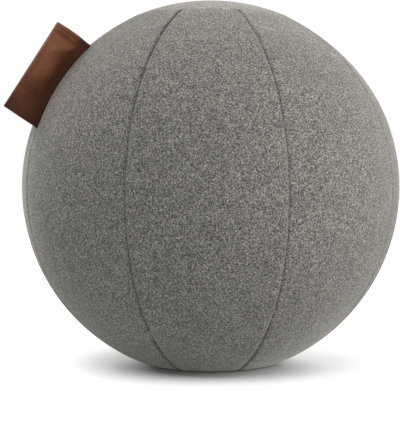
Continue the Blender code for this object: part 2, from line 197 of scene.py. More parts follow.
loop_half_angle = math.radians(14.8)
loop_opening = (loop_elevation - loop_half_angle, loop_elevation + loop_half_angle)
opening_taper = 0.008
foot_lift = 0.0008
openings = {zip_seam: (*zip_opening, zip_part), loop_seam: (*loop_opening, loop_part)}

top_seam = math.atan2(
    crown_rise * math.sin(math.acos(top_panel_radius / ball_radius)), top_panel_radius
)
base_seam = -math.asin((ball_centre.z - foot_lift) / ball_radius)


def skin_radius(elevation):
    """From the ball's centre to the outside of the felt: a sphere below, a little flatter above."""
    rise = crown_rise if elevation > 0 else ball_radius
    return 1 / math.hypot(math.cos(elevation) / ball_radius, math.sin(elevation) / rise)


def ease(share):
    """A share from 0 to 1 that starts and ends softly."""
    share = min(1, max(0, share))
    return share * share * (3 - 2 * share)


def on_skin(azimuth, elevation, depth=0.0):
    """A point on the outside of the felt, or at a depth below it."""
    reach = skin_radius(elevation) - depth
    flat = reach * math.cos(elevation)
    height = ball_centre.z + reach * math.sin(elevation)
    return Vector((flat * math.cos(azimuth), flat * math.sin(azimuth), height))


def parted(seam, elevation):
    """How far a seam is open, from 0 to 1: it opens beside the zip and the hand loop."""
    if seam not in openings:
        return 0
    low, high, _ = openings[seam]
    reach = opening_taper / ball_radius
    return ease((elevation - low) / reach) * ease((high - elevation) / reach)


def stand_back(seam, elevation):
    """How far a gore's edge stands back from its seam."""
    return openings[seam][2] * parted(seam, elevation) if seam in openings else 0


def sink(seam, elevation):
    """How deep a seam lies: least round the middle, most at its gathered ends, and never even."""
    gathered = ease((abs(elevation) - gather_start) / gather_reach)
    pull = seam_pull[seam % gore_count]
    depth = seam_sink * pull
    end_depth = (crown_sink if elevation > 0 else foot_sink) * math.sqrt(pull)
    depth += (end_depth - depth) * gathered
    along = elevation * ball_radius / pucker_length
    pucker = noise.noise(Vector((along, pucker_shift * (seam % gore_count), 0)))
    depth *= 1 + pucker_share * pucker
    return depth + (opening_sink - depth) * parted(seam, elevation)


def turned_in(distance, depth):
    """How deep the felt lies at a distance from a sewn edge of a given depth."""
    return depth * max(0, 1 - distance / seam_turn) ** 2


def spaced(length, count):
    """Distances across a width: close together at both edges, and even between them."""
    inner = edge_steps[-1]
    middle = [inner + (length - 2 * inner) * i / count for i in range(1, count)]
    return [*edge_steps, *middle, *(length - step for step in reversed(edge_steps))]


def add_sheet(name, columns, rows, where):
    """A sheet: a flat grid is added, and each of its corners goes where the pattern puts it."""
    bpy.ops.object.select_all(action="DESELECT")
    bpy.ops.mesh.primitive_grid_add(x_subdivisions=columns, y_subdivisions=rows, size=1)
    sheet = bpy.context.object
    sheet.name = sheet.data.name = name
    for corner in sheet.data.vertices:
        column = round((corner.co.x + 0.5) * columns)
        row = round((corner.co.y + 0.5) * rows)
        corner.co = where(column, row)
    return sheet


def face_away(piece, point):
    """Turns the faces of a sheet away from a point."""
    facing = sum(face.area * face.normal.dot(face.center - point) for face in piece.data.polygons)
    if facing < 0:
        piece.data.flip_normals()


def thicken(piece, thickness):
    """Gives a sheet its thickness, inwards from its faces, and smooths it."""
    bpy.context.view_layer.objects.active = piece
    wall = piece.modifiers.new("wall", "SOLIDIFY")
    wall.thickness = thickness
    wall.offset = -1
    wall.use_even_offset = True
    bpy.ops.object.modifier_apply(modifier=wall.name)
    piece.data.shade_smooth()


# Needled wool felt of mixed dark and light fibres: salt and pepper clumps, no shine, and a soft
# light bloom at grazing angles. Real fibres are far thinner than a pixel, so the clumps are drawn
# about 2 mm wide, as they show in the picture.
felt, tree, shader, place = new_material("grey melange wool felt")
clumps = add_node(
    tree,
    "ShaderNodeTexNoise",
    {"Vector": place, "Scale": 1 / 0.0022, "Detail": 2, "Roughness": 0.65, "Distortion": 0.6},
)
fibres = add_node(
    tree,
    "ShaderNodeTexNoise",
    {"Vector": place, "Scale": 1 / 0.0008, "Detail": 2, "Roughness": 0.7, "Distortion": 1.2},
)
mottle = add_node(tree, "ShaderNodeTexNoise", {"Vector": place, "Scale": 1 / 0.016, "Detail": 2})
blend = add_node(
    tree,
    "ShaderNodeMix",
    {0: 0.4, 2: clumps.outputs["Fac"], 3: fibres.outputs["Fac"]},
    data_type="FLOAT",
)
drift = add_node(
    tree,
    "ShaderNodeMath",
    {0: mottle.outputs["Fac"], 1: 0.06, 2: blend.outputs[0]},
    operation="MULTIPLY_ADD",
)
speckle = add_node(
    tree,
    "ShaderNodeMapRange",
    {"Value": drift.outputs["Value"], "From Min": 0.45, "From Max": 0.63},
)
melange = add_node(tree, "ShaderNodeValToRGB", {"Fac": speckle.outputs["Result"]})
melange.color_ramp.elements[0].color = linear("#44423e")
melange.color_ramp.elements[1].color = linear("#b0ada5")
melange.color_ramp.elements.new(0.5).color = linear("#73706b")
nap = add_node(
    tree,
    "ShaderNodeBump",
    {"Strength": 0.7, "Distance": 0.0008, "Height": blend.outputs[0]},
)
tree.links.new(melange.outputs["Color"], shader.inputs["Base Color"])
tree.links.new(nap.outputs["Normal"], shader.inputs["Normal"])
shader.inputs["Roughness"].default_value = 0.95
shader.inputs["Specular IOR Level"].default_value = 0.15
shader.inputs["Sheen Weight"].default_value = 0.7
shader.inputs["Sheen Roughness"].default_value = 0.35
shader.inputs["Sheen Tint"].default_value = linear("#d8d6cf")

gore_columns = 40
gore_rows = 124
row_distances = spaced(ball_radius * (top_seam - base_seam), gore_rows)
edge_count = 2 * (len(edge_steps) - 1)
seam_angle = math.tau / gore_count
cut_width = seam_angle * ball_radius
crease_gore = 4
crease_start = Vector((math.radians(225), math.radians(31))) * ball_radius
crease_end = Vector((math.radians(212), math.radians(26.5))) * ball_radius
crease_depth = 0.0009
crease_half = 0.0050


def pulled(spot, start, end, half):
    """How near a spot lies to a soft pulled line, from 0 to 1; the line fades out at both ends."""
    line = end - start
    share = (spot - start).dot(line) / line.length_squared
    gap = (spot - start - line * share).length
    return ease(4 * share) * ease(2 - 2 * share) * math.exp(-((gap / half) ** 2))


for index in range(gore_count):

    def on_gore(column, row, index=index):
        """A corner of one gore, from its left seam to its right and from the base to the top."""
        foot = row_distances[row]
        elevation = base_seam + foot / ball_radius
        flat = skin_radius(elevation) * math.cos(elevation)
        left = index * seam_angle + stand_back(index, elevation) / flat
        right = (index + 1) * seam_angle - stand_back(index + 1, elevation) / flat
        width = flat * (right - left)
        across = spaced(width, gore_columns)[column]
        azimuth = left + across / flat
        depth = max(
            turned_in(across, sink(index, elevation)),
            turned_in(width - across, sink(index + 1, elevation)),
            turned_in(row_distances[-1] - foot, ring_sink),
            turned_in(foot, hem_sink),
        )
        tight = ease((elevation - crown_flat_start) / crown_flat_reach)
        tight *= ease((top_seam - elevation) / crown_flat_end)
        depth += crown_flat * tight * (1 - (2 * across / width - 1) ** 2)
        if index == crease_gore:
            spot = Vector((azimuth, elevation)) * ball_radius
            depth += crease_depth * pulled(spot, crease_start, crease_end, crease_half)
        return on_skin(azimuth, elevation, depth)

    columns, rows = gore_columns + edge_count, gore_rows + edge_count
    gore = add_sheet(f"felt_gore_{index + 1}", columns, rows, on_gore)
    face_away(gore, ball_centre)
    thicken(gore, felt_wall)
    cut_area = cut_width * (on_skin(0, top_seam) - on_skin(0, base_seam)).z
    for seam in {index, index + 1} & set(openings):
        low, high, back = openings[seam]
        cut_area -= back * (high - low) * ball_radius
    gore.data.materials.append(felt)
    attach(gore, "ball_body")
    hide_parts(f"gore_{index + 1}")

# Top panel. A round of the same felt, which closes the cover at the crown. It is sewn to the tops
# of the gores and turned in at its seam.
round_corners = 128
ring_count = 20
ring_distances = spaced(2 * ball_radius * (math.pi / 2 - top_seam), ring_count)
ring_distances = [d for d in ring_distances if d < ball_radius * (math.pi / 2 - top_seam)]
bpy.ops.object.select_all(action="DESELECT")
bpy.ops.mesh.primitive_circle_add(vertices=round_corners, radius=1, fill_type="NOTHING")
top_panel = bpy.context.object
top_panel.name = top_panel.data.name = "felt_top_panel"
bpy.ops.object.mode_set(mode="EDIT")
for distance in ring_distances:
    bpy.ops.mesh.extrude_edges_move()
    reach = on_skin(0, top_seam + distance / ball_radius, turned_in(distance, ring_sink))
    shape = bmesh.from_edit_mesh(top_panel.data)
    for corner in shape.verts:
        if corner.select:
            around = math.atan2(corner.co.y, corner.co.x)
            corner.co = (reach.x * math.cos(around), reach.x * math.sin(around), reach.z)
    bmesh.update_edit_mesh(top_panel.data)
bpy.ops.mesh.extrude_edges_move()
bpy.ops.mesh.merge(type="CENTER")
shape = bmesh.from_edit_mesh(top_panel.data)
for corner in shape.verts:
    if corner.select:
        corner.co = on_skin(0, math.pi / 2)
first_ring = [corner for corner in shape.verts if corner.co.z < ball_centre.z]
bmesh.ops.delete(shape, geom=first_ring, context="VERTS")
bmesh.update_edit_mesh(top_panel.data)
bpy.ops.object.mode_set(mode="OBJECT")
face_away(top_panel, ball_centre)
thicken(top_panel, felt_wall)

# The same felt painted lighter: a painted highlight for the light that catches the crown at grazing
# angles
crown_highlight_felt = felt.copy()
crown_highlight_felt.name = "grey wool felt painted lighter at the crown"
crown_highlight_ramp = next(n for n in crown_highlight_felt.node_tree.nodes if n.bl_idname == "ShaderNodeValToRGB")
for stop, code in zip(crown_highlight_ramp.color_ramp.elements, ("#4d4b47", "#84817b", "#c9c6be")):
    stop.color = linear(code)
top_panel.data.materials.append(crown_highlight_felt)
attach(top_panel, "ball_body")
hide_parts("top_panel")

# Base panel. A round of woven non-slip cloth, which closes the cover underneath. A line is pressed
# round its edge, and domes of soft silicone are printed inside it, so that the ball doesn't slide.
base_radius = 0.1246
base_top = 0.0030
rim_width = 0.0008
press_inset = 0.005
press_width = 0.0008
press_depth = 0.0003
dome_radius = 0.0022
dome_height = 0.0006
dome_pitch = 0.009
dome_field = 0.114
dome_columns = 29
dome_rows = 17
bpy.ops.object.select_all(action="DESELECT")
bpy.ops.mesh.primitive_circle_add(
    vertices=round_corners, radius=base_radius, fill_type="NGON", location=(0, 0, dome_height)
)
base_cloth = bpy.context.object
base_cloth.name = base_cloth.data.name = "base_cloth"
bpy.ops.object.transform_apply(location=True)
bpy.ops.object.mode_set(mode="EDIT")
bpy.ops.mesh.select_all(action="SELECT")
bpy.ops.mesh.inset(thickness=press_inset)
bpy.ops.mesh.inset(thickness=press_width, depth=press_depth)
bpy.ops.mesh.inset(thickness=press_width, depth=-press_depth)
bpy.ops.mesh.select_all(action="SELECT")
bpy.ops.mesh.extrude_region_move(TRANSFORM_OT_translate={"value": (0, 0, base_top - dome_height)})
bpy.ops.mesh.select_all(action="SELECT")
bpy.ops.mesh.normals_make_consistent(inside=False)
bpy.ops.object.mode_set(mode="OBJECT")
rim = base_cloth.modifiers.new("rim", "BEVEL")
rim.width = rim_width
rim.segments = 3
rim.limit_method = "ANGLE"
bpy.ops.object.modifier_apply(modifier=rim.name)
bpy.ops.object.shade_smooth_by_angle(angle=math.radians(40))

# Woven polyester cloth: a plain weave of 0.6 mm threads, matt and nearly black. A wave texture of
# scale 1 draws 3.18 bands in a metre.
wave_bands = 3.18
grip, tree, shader, place = new_material("woven non-slip cloth")
weft = add_node(
    tree,
    "ShaderNodeTexWave",
    {"Vector": place, "Scale": 1 / 0.0012 / wave_bands},
    bands_direction="X",
)
warp = add_node(
    tree,
    "ShaderNodeTexWave",
    {"Vector": place, "Scale": 1 / 0.0012 / wave_bands},
    bands_direction="Y",
)
weave = add_node(
    tree, "ShaderNodeMath", {0: weft.outputs["Fac"], 1: warp.outputs["Fac"]}, operation="MULTIPLY"
)
shade = add_node(
    tree,
    "ShaderNodeMix",
    {0: weave.outputs["Value"], 6: linear("#1f1f20"), 7: linear("#363637")},
    data_type="RGBA",
)
threads = add_node(
    tree, "ShaderNodeBump", {"Strength": 0.5, "Distance": 0.0003, "Height": weave.outputs["Value"]}
)
tree.links.new(shade.outputs[2], shader.inputs["Base Color"])
tree.links.new(threads.outputs["Normal"], shader.inputs["Normal"])
shader.inputs["Roughness"].default_value = 0.85
base_cloth.data.materials.append(grip)
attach(base_cloth, "ball_body")
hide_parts("base_panel")

bpy.ops.object.select_all(action="DESELECT")
bpy.ops.mesh.primitive_uv_sphere_add(segments=10, ring_count=6, radius=dome_radius)
domes = bpy.context.object
domes.name = domes.data.name = "grip_domes"
bpy.ops.object.mode_set(mode="EDIT")
bpy.ops.mesh.select_all(action="SELECT")
bpy.ops.mesh.bisect(plane_co=(0, 0, 0), plane_no=(0, 0, 1), use_fill=True, clear_outer=True)
bpy.ops.mesh.select_all(action="SELECT")
bpy.ops.transform.resize(value=(1, 1, dome_height / dome_radius), center_override=(0, 0, 0))
first_dome = (
    -(dome_columns // 2) * dome_pitch,
    -(dome_rows // 2) * dome_pitch * math.sqrt(3),
    dome_height,
)
bpy.ops.transform.translate(value=first_dome)
bpy.ops.object.mode_set(mode="OBJECT")
for name, count, step in (
    ("pair", 2, (dome_pitch / 2, dome_pitch * math.sqrt(3) / 2, 0)),
    ("line", dome_columns, (dome_pitch, 0, 0)),
    ("field", dome_rows, (0, dome_pitch * math.sqrt(3), 0)),
):
    row = domes.modifiers.new(name, "ARRAY")
    row.count = count
    row.use_relative_offset = False
    row.use_constant_offset = True
    row.constant_offset_displace = step
    bpy.ops.object.modifier_apply(modifier=name)
bpy.ops.object.mode_set(mode="EDIT")
bpy.ops.mesh.select_mode(type="VERT")
bpy.ops.mesh.select_all(action="DESELECT")
shape = bmesh.from_edit_mesh(domes.data)
for corner in shape.verts:
    if corner.co.xy.length > dome_field:
        corner.select_set(True)
bmesh.update_edit_mesh(domes.data)
bpy.ops.mesh.select_linked()
bpy.ops.mesh.delete(type="VERT")
bpy.ops.object.mode_set(mode="OBJECT")
bpy.ops.object.shade_smooth_by_angle(angle=math.radians(50))

# Printed silicone: smooth dark grey domes with a soft shine, dusted by the floor
silicone, tree, shader, place = new_material("printed silicone")
dust = add_node(tree, "ShaderNodeTexNoise", {"Vector": place, "Scale": 1 / 0.003, "Detail": 3})
shade = add_node(
    tree,
    "ShaderNodeMix",
    {0: dust.outputs["Fac"], 6: linear("#2c2c2d"), 7: linear("#474746")},
    data_type="RGBA",
)
dull = add_node(
    tree, "ShaderNodeMapRange", {"Value": dust.outputs["Fac"], "To Min": 0.35, "To Max": 0.65}
)
tree.links.new(shade.outputs[2], shader.inputs["Base Color"])
tree.links.new(dull.outputs["Result"], shader.inputs["Roughness"])
shader.inputs["IOR"].default_value = 1.41
domes.data.materials.append(silicone)
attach(domes, "ball_body")

# Seam stitching. A lockstitch of strong dark polyester thread runs in each groove, between the
# turned edges of the felt, and dips at every needle hole.
stitch_length = 0.0035
stitch_points = 4
stitch_depth = 0.0002
stitch_dip = 0.0005
thread_radius = 0.00042


def add_thread(name, lines, radius, closed=False):
    """Sewing thread along one line of points or more, as one mesh."""
    curve = bpy.data.curves.new(name, "CURVE")
    curve.dimensions = "3D"
    curve.bevel_depth = radius
    curve.bevel_resolution = 1
    curve.use_fill_caps = True
    for line in lines:
        spline = curve.splines.new("POLY")
        spline.points.add(len(line) - 1)
        spline.use_cyclic_u = closed
        for corner, point in zip(spline.points, line):
            corner.co = (*point, 1)
    thread = bpy.data.objects.new(name, curve)
    bpy.context.scene.collection.objects.link(thread)
    bpy.ops.object.select_all(action="DESELECT")
    thread.select_set(True)
    bpy.context.view_layer.objects.active = thread
    bpy.ops.object.convert(target="MESH")
    bpy.context.object.data.shade_smooth()
    return bpy.context.object


def dip(count):
    """Depth of the thread in its seam at one of its points: it goes down at each needle hole."""
    share = count % stitch_points / stitch_points
    return stitch_depth + stitch_dip * (1 - math.sin(math.pi * share)) ** 2


# Twisted polyester sewing thread: dark grey with the light ridges of its twist, 0.8 mm apart
sewing, tree, shader, place = new_material("twisted polyester thread")
twist = add_node(
    tree,
    "ShaderNodeTexWave",
    {"Vector": place, "Scale": 1 / 0.0008 / wave_bands, "Distortion": 1},
    bands_direction="DIAGONAL",
)
shade = add_node(
    tree,
    "ShaderNodeMix",
    {0: twist.outputs["Fac"], 6: linear("#2b2a28"), 7: linear("#474541")},
    data_type="RGBA",
)
plies = add_node(
    tree, "ShaderNodeBump", {"Strength": 0.6, "Distance": 0.0002, "Height": twist.outputs["Fac"]}
)
tree.links.new(shade.outputs[2], shader.inputs["Base Color"])
tree.links.new(plies.outputs["Normal"], shader.inputs["Normal"])
shader.inputs["Roughness"].default_value = 0.7


def sew(name, node, line, closed=False):
    """A row of stitches in a seam, for the CAD thread that it stands for."""
    thread = add_thread(name, [line], thread_radius, closed)
    thread.data.materials.append(sewing)
    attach(thread, "ball_body")
    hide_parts(node)


def seam_line(seam, low, high):
    """Points of a stitched line up one seam, between two elevations."""
    count = round((high - low) * ball_radius / stitch_length * stitch_points)
    rises = [low + (high - low) * i / count for i in range(count + 1)]
    return [on_skin(seam * seam_angle, e, sink(seam, e) + dip(i)) for i, e in enumerate(rises)]


def round_line(radius, elevation, depth):
    """Points of a stitched line round the ball, at one elevation."""
    count = round(math.tau * radius / stitch_length) * stitch_points
    return [on_skin(math.tau * i / count, elevation, depth + dip(i)) for i in range(count)]


seam_margin = 0.002 / ball_radius
caught = {zip_seam: "zip", loop_seam: "hand_loop"}
for seam in range(gore_count):
    low, high = base_seam + seam_margin, top_seam - seam_margin
    if seam in openings:
        held = caught[seam]
        first, last, _ = openings[seam]
        sew(f"thread_below_{held}", f"stitching_below_{held}", seam_line(seam, low, first))
        sew(f"thread_above_{held}", f"stitching_above_{held}", seam_line(seam, last, high))
    else:
        sew(f"seam_thread_{seam + 1}", f"seam_stitching_{seam + 1}", seam_line(seam, low, high))

top_line = round_line(top_panel_radius, top_seam, ring_sink)
sew("top_panel_thread", "top_panel_stitching", top_line, closed=True)
base_line = round_line(base_radius, base_seam, hem_sink)
sew("base_panel_thread", "base_panel_stitching", base_line, closed=True)

# Zip. A nylon coil zip, let in behind the parted edges of two gores: a woven tape at each side,
# with a coil sewn along its edge, and a small metal stop at each end.
tape_depth = 0.00455
tape_wall = 0.0005
tape_inner = 0.0018
tape_width = 0.0100
tape_ends = (math.radians(-64.03), 0)
coil_ends = (math.radians(-61.21), math.radians(-2.82))
coil_depth = 0.0035
coil_height = 0.0026
coil_inner = 0.0004
coil_outer = 0.0030
coil_wire = 0.00052
coil_pitch = 0.0021
coil_lean = 0.18
coil_bends = 4
tape_columns = 4
tape_rows = 120


def on_zip(across, elevation, depth):
    """A point of the zip, whose line is a circle about the ball's centre."""
    reach = ball_radius - depth
    return ball_centre + Vector((across, reach * math.cos(elevation), reach * math.sin(elevation)))


# Woven polyester tape: a fine herringbone of 0.7 mm threads, dark warm grey and matt
tape, tree, shader, place = new_material("woven zip tape")
parts = add_node(tree, "ShaderNodeSeparateXYZ", {"Vector": place})
fold = add_node(tree, "ShaderNodeMath", {0: parts.outputs["X"], 1: 0.0021}, operation="PINGPONG")
bent = add_node(
    tree, "ShaderNodeCombineXYZ", {"X": fold.outputs["Value"], "Y": 0, "Z": parts.outputs["Z"]}
)
twill = add_node(
    tree,
    "ShaderNodeTexWave",
    {"Vector": bent.outputs["Vector"], "Scale": 1 / 0.0014 / wave_bands},
    bands_direction="DIAGONAL",
)
shade = add_node(
    tree,
    "ShaderNodeMix",
    {0: twill.outputs["Fac"], 6: linear("#3a3936"), 7: linear("#55534f")},
    data_type="RGBA",
)
threads = add_node(
    tree, "ShaderNodeBump", {"Strength": 0.5, "Distance": 0.0003, "Height": twill.outputs["Fac"]}
)
tree.links.new(shade.outputs[2], shader.inputs["Base Color"])
tree.links.new(threads.outputs["Normal"], shader.inputs["Normal"])
shader.inputs["Roughness"].default_value = 0.88
shader.inputs["Sheen Weight"].default_value = 0.1

# Drawn nylon wire, dyed dark: smooth and a little shiny on the tops of the coils
nylon, tree, shader, place = new_material("dyed nylon coil")
rub = add_node(tree, "ShaderNodeTexNoise", {"Vector": place, "Scale": 1 / 0.002, "Detail": 2})
shade = add_node(
    tree,
    "ShaderNodeMix",
    {0: rub.outputs["Fac"], 6: linear("#2f2e2c"), 7: linear("#454340")},
    data_type="RGBA",
)
gloss = add_node(
    tree, "ShaderNodeMapRange", {"Value": rub.outputs["Fac"], "To Min": 0.32, "To Max": 0.5}
)
tree.links.new(shade.outputs[2], shader.inputs["Base Color"])
tree.links.new(gloss.outputs["Result"], shader.inputs["Roughness"])
shader.inputs["IOR"].default_value = 1.53

coil_count = round((coil_ends[1] - coil_ends[0]) * ball_radius / coil_pitch)
coil_step = (coil_ends[1] - coil_ends[0]) / coil_count
# Each side has its own phase, so that the turns of one coil lie between those of the other
for side, sign, phase, gore in (
    ("left", -1, 0.3, "felt_gore_3"),
    ("right", 1, 0.7, "felt_gore_2"),
):

    def on_tape(column, row, sign=sign):
        """A corner of a tape, whose inner edge lies inside the coil."""
        elevation = tape_ends[0] + (tape_ends[1] - tape_ends[0]) * row / tape_rows
        across = tape_inner + tape_width * column / tape_columns
        return on_zip(sign * across, elevation, tape_depth)

    strip = add_sheet(f"zip_tape_cloth_{side}", tape_columns, tape_rows, on_tape)
    face_away(strip, ball_centre)
    thicken(strip, tape_wall)
    strip.data.materials.append(tape)
    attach(strip, "ball_body")
    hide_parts(f"zip_tape_{side}")

    deep, shallow = coil_depth + coil_height - coil_wire, coil_depth + coil_wire
    head = (deep - shallow) / 2
    lean = coil_lean * coil_step
    turns = []
    for turn in range(coil_count):
        middle = coil_ends[0] + (turn + phase) * coil_step
        loop = [on_zip(sign * coil_outer, middle - lean, shallow)]
        loop.append(on_zip(sign * (coil_inner + coil_wire + head / 2), middle, shallow))
        for i in range(1, coil_bends):
            turned = math.pi * i / coil_bends
            reach = coil_inner + coil_wire + head / 2 * (1 - math.sin(turned))
            depth = (shallow + deep) / 2 - head * math.cos(turned)
            loop.append(on_zip(sign * reach, middle, depth))
        loop.append(on_zip(sign * (coil_inner + coil_wire + head / 2), middle, deep))
        loop.append(on_zip(sign * coil_outer, middle + lean, deep))
        turns.append(loop)
    coil = add_thread(f"zip_coil_{side}", turns, coil_wire)
    coil.data.materials.append(nylon)
    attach(coil, "ball_body")
    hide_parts(f"zip_chain_{side}")

# Zip slider, pull and stops. Die-cast zinc, plated dark nickel: the slider's two plates run on the
# coil, and the pull hangs from its lug. Their edges are tumbled smooth before plating.
edge_round = 0.00022


def tumbled(name, node):
    """A CAD piece with its edges rounded over."""
    bpy.ops.object.select_all(action="DESELECT")
    piece = frame["nodes"][node].copy()
    piece.data = frame["nodes"][node].data.copy()
    piece.parent = None
    for key in list(piece.keys()):
        del piece[key]
    piece.name = piece.data.name = name
    bpy.context.scene.collection.objects.link(piece)
    piece.select_set(True)
    bpy.context.view_layer.objects.active = piece
    bpy.ops.object.mode_set(mode="EDIT")
    bpy.ops.mesh.select_all(action="SELECT")
    bpy.ops.mesh.remove_doubles(threshold=0.00001)
    bpy.ops.mesh.dissolve_limited(angle_limit=math.radians(2))
    bpy.ops.object.mode_set(mode="OBJECT")
    rounding = piece.modifiers.new("rounding", "BEVEL")
    rounding.width = edge_round
    rounding.segments = 3
    rounding.limit_method = "ANGLE"
    rounding.angle_limit = math.radians(35)
    bpy.ops.object.modifier_apply(modifier=rounding.name)
    bpy.ops.object.shade_smooth_by_angle(angle=math.radians(40))
    return piece


# Plated zinc: dark warm metal, polished by handling, with fine tumbling marks
nickel, tree, shader, place = new_material("dark nickel plate")
marks = add_node(tree, "ShaderNodeTexNoise", {"Vector": place, "Scale": 1 / 0.0012, "Detail": 4})
shade = add_node(
    tree,
    "ShaderNodeMix",
    {0: marks.outputs["Fac"], 6: linear("#77736d"), 7: linear("#8d8983")},
    data_type="RGBA",
)
polish = add_node(
    tree, "ShaderNodeMapRange", {"Value": marks.outputs["Fac"], "To Min": 0.22, "To Max": 0.42}
)
scuffs = add_node(
    tree, "ShaderNodeBump", {"Strength": 0.15, "Distance": 0.0001, "Height": marks.outputs["Fac"]}
)
tree.links.new(shade.outputs[2], shader.inputs["Base Color"])
tree.links.new(polish.outputs["Result"], shader.inputs["Roughness"])
tree.links.new(scuffs.outputs["Normal"], shader.inputs["Normal"])
shader.inputs["Metallic"].default_value = 1

for name, node, body in (
    ("slider_casting", "zip_slider", "slider_body"),
    ("pull_tab", "zip_pull", "pull_body"),
    ("top_stop_clamp", "zip_top_stop", "ball_body"),
    ("bottom_stop_clamp", "zip_bottom_stop", "ball_body"),
):
    casting = tumbled(name, node)
    casting.data.materials.clear()
    casting.data.materials.append(nickel)
    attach(casting, body)
    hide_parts(node)

# Hand loop. One piece of brown leather, folded double, with both ends caught in a seam of the felt.
# Its open sides are turned and stitched. It stands out by its own stiffness and bends at the seam.
leather_wall = 0.002
loop_length = 0.165
hinge_rise = 0.0026
root_depth = 0.006
root_half = 0.00215
root_points = 7
root_step = 0.0015
side_points = 10
fold_points = 5
belly_half = 0.0068
fold_radius = 0.004
fold_out = 0.0494
neck = 0.028
taper = 0.018
bulge = 0.006
bulge_middle = 0.035
hem = 0.0075
hem_rise = 0.0008
hem_step = 0.0012
hem_groove = 0.0009
hem_groove_half = 0.0009
edge_drop = 0.0008
edge_reach = 0.001
crumples_per_metre = 28
crumple_height = 0.0012
crumple_shift = 7
fold_start = Vector((-0.006, 0.060))
fold_end = Vector((0.050, 0.034))
fold_height = 0.0045
fold_half = 0.0065
tuck_start = Vector((0.054, 0.066))
tuck_end = Vector((-0.004, 0.064))
tuck_depth = 0.0050
tuck_half = 0.0045
loop_radius = skin_radius(loop_elevation) + hinge_rise
loop_out = Vector((-math.cos(loop_elevation), 0, math.sin(loop_elevation)))
loop_along = Vector((math.sin(loop_elevation), 0, math.cos(loop_elevation)))
bend_line = ball_centre + loop_out * loop_radius

end_steps = (0, 0.0003, 0.0009, 0.002, 0.004, 0.0058, 0.0066)
end_steps += (0.0071, 0.0075, 0.0079, 0.0085, 0.0098, 0.012)
long_count = 52
inner = end_steps[-1]
along_steps = list(end_steps)
along_steps += [inner + (loop_length - 2 * inner) * i / long_count for i in range(1, long_count)]
along_steps += [loop_length - step for step in reversed(end_steps)]


def root_out(along):
    """Where the leather meets the ball, at a distance along the loop: it follows the felt."""
    angle = math.asin(along / loop_radius)
    return (skin_radius(loop_elevation + angle) + hinge_rise) * math.cos(angle) - loop_radius


def loop_side(root):
    """(out, aside) points on the outside of one half of the loop, from its root to its fold."""
    start = root - hinge_rise - root_depth
    points = [(start + root_step * i, root_half) for i in range(root_points)]
    start = points[-1][0]
    for i in range(1, side_points + 1):
        aside = root_half + (belly_half - root_half) * ease(i / side_points)
        points.append((start + neck * i / side_points, aside))
    start = points[-1][0]
    level = fold_out - taper
    for i in range(1, side_points + 1):
        points.append((start + (level - start) * i / side_points, belly_half))
    for i in range(1, side_points + 1):
        aside = belly_half + (fold_radius - belly_half) * ease(i / side_points)
        points.append((level + taper * i / side_points, aside))
    for i in range(1, fold_points + 1):
        angle = math.pi / 2 * (1 - i / fold_points)
        points.append((fold_out + fold_radius * math.cos(angle), fold_radius * math.sin(angle)))
    return points


side_count = len(loop_side(0)) - 1
loop_columns = 2 * side_count


def slack(aside):
    """How free the leather is to belly and fold: from 0 at its flat root to 1 at its full width."""
    return ease((aside - root_half) / (belly_half - root_half))


def swell(out, aside, along, sign):
    """How far the leather stands out past its plain outline: belly, fold, tuck and crumples."""
    belly = bulge * math.cos(math.pi * (along - bulge_middle) / loop_length)
    spot = Vector((out * crumples_per_metre, along * crumples_per_metre, crumple_shift * sign))
    folds = noise.noise(spot) * crumple_height
    folds += fold_height * pulled(Vector((out, along)), fold_start, fold_end, fold_half)
    folds -= tuck_depth * pulled(Vector((out, along)), tuck_start, tuck_end, tuck_half)
    return slack(aside) * (belly + folds)


def off_bend(out, aside, along):
    """A point of the loop, by its distances from the middle of the bend."""
    return bend_line + loop_out * out + loop_along * along + Vector((0, aside, 0))


def on_loop(column, row):
    """A corner of the leather's outside, from one root over the fold to the other."""
    along = along_steps[row] - loop_length / 2
    out, aside = loop_side(root_out(along))[min(column, loop_columns - column)]
    sign = 1 if column <= side_count else -1
    end = min(along_steps[row], loop_length - along_steps[row])
    turned = hem_rise * (1 - ease((end - hem + hem_step) / (2 * hem_step)))
    turned -= hem_groove * math.exp(-(((end - hem) / hem_groove_half) ** 2))
    turned -= edge_drop * (1 - ease(end / edge_reach))
    aside += swell(out, aside, along, sign) + slack(aside) * turned
    return off_bend(out, sign * aside, along)


# Vegetable-tanned cowhide, waxed: warm brown with a pebbled grain about 1 mm wide and a satin shine.
# It is darker between its pebbles. Painted shade makes it darker low down and next to the ball, and
# a painted highlight makes its upper part lighter.
leather, tree, shader, place = new_material("waxed brown cowhide")
pebbles = add_node(
    tree, "ShaderNodeTexVoronoi", {"Vector": place, "Scale": 1 / 0.0011}, feature="DISTANCE_TO_EDGE"
)
hide = add_node(
    tree, "ShaderNodeTexNoise", {"Vector": place, "Scale": 1 / 0.035, "Detail": 4, "Roughness": 0.6}
)
# Painted light: the leather's colour is lighter towards the top of the loop and darker low down, as
# the light falls on it
height = add_node(tree, "ShaderNodeVectorMath", {0: place, 1: loop_along}, operation="DOT_PRODUCT")
middle = bend_line.dot(loop_along)
painted_light_by_height = add_node(
    tree,
    "ShaderNodeMapRange",
    {
        "Value": height.outputs["Value"],
        "From Min": middle - 0.07,
        "From Max": middle + 0.02,
        "To Min": -0.42,
        "To Max": 0.2,
    },
)
hide_and_painted_light = add_node(
    tree,
    "ShaderNodeMath",
    {0: hide.outputs["Fac"], 1: painted_light_by_height.outputs["Result"]},
    operation="ADD",
    use_clamp=True,
)
creases = add_node(
    tree,
    "ShaderNodeTexNoise",
    {"Vector": place, "Scale": 1 / 0.012, "Detail": 3, "Distortion": 0.8},
)
shade = add_node(
    tree,
    "ShaderNodeMix",
    {0: hide_and_painted_light.outputs["Value"], 6: linear("#492510"), 7: linear("#945d40")},
    data_type="RGBA",
)
